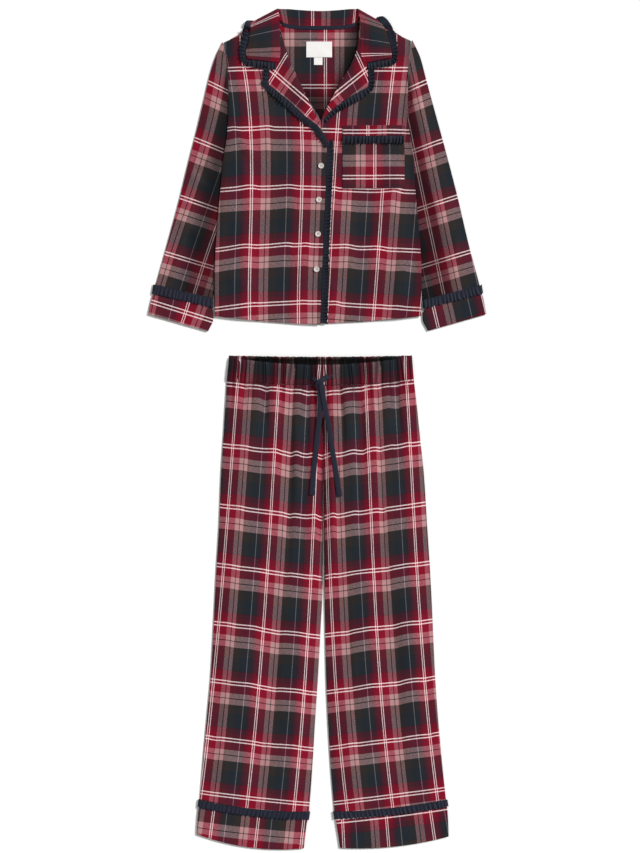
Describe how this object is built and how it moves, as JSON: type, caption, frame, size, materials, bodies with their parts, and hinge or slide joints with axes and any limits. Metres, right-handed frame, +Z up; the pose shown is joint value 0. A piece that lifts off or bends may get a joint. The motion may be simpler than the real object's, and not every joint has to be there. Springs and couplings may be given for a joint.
{
  "type": "pyjama set",
  "caption": "Flannel pyjama set laid flat: a long-sleeved shirt with a notched collar, gathered navy ruffles and a chest pocket, above wide trousers with a gathered drawstring waist.",
  "frame": {"origin": "centre of the set's plan outline, on the surface that it lies on", "axes": "+Z up from the surface, +Y from the leg hems to the collar, +X to the wearer's left"},
  "size_m": [0.71, 1.7647, 0.0129],
  "materials": {
    "tartan_flannel": "brushed, matt",
    "navy_cotton": "plain weave, matt",
    "label_satin": "woven satin",
    "pearl_resin": "polished, pearly"
  },
  "bodies": {
    "root": {"shirt_back": "tartan_flannel", "shirt_front_right": "tartan_flannel", "shirt_front_left": "tartan_flannel", "sleeve_right": "tartan_flannel", "sleeve_left": "tartan_flannel", "sleeve_cuff_right": "tartan_flannel", "sleeve_cuff_left": "tartan_flannel", "sleeve_ruffle_right": "navy_cotton", "sleeve_ruffle_left": "navy_cotton", "collar": "tartan_flannel", "neck_tape": "navy_cotton", "lapel_right": "tartan_flannel", "lapel_left": "tartan_flannel", "collar_ruffle": "navy_cotton", "lapel_ruffle_right": "navy_cotton", "lapel_ruffle_left": "navy_cotton", "front_ruffle": "navy_cotton", "pocket": "tartan_flannel", "pocket_band": "tartan_flannel", "pocket_ruffle": "navy_cotton", "button_1": "pearl_resin", "button_2": "pearl_resin", "button_3": "pearl_resin", "button_4": "pearl_resin", "neck_label": "label_satin", "size_tab": "label_satin", "leg_front_right": "tartan_flannel", "leg_front_left": "tartan_flannel", "leg_back_right": "tartan_flannel", "leg_back_left": "tartan_flannel", "leg_cuff_right": "tartan_flannel", "leg_cuff_left": "tartan_flannel", "leg_ruffle_right": "navy_cotton", "leg_ruffle_left": "navy_cotton", "waistband_back": "tartan_flannel", "waistband_front": "tartan_flannel", "drawstring_end_right": "navy_cotton", "drawstring_end_left": "navy_cotton", "drawstring_tail_right": "navy_cotton", "drawstring_tail_left": "navy_cotton", "drawstring_knot": "navy_cotton"}
  },
  "joints": []
}
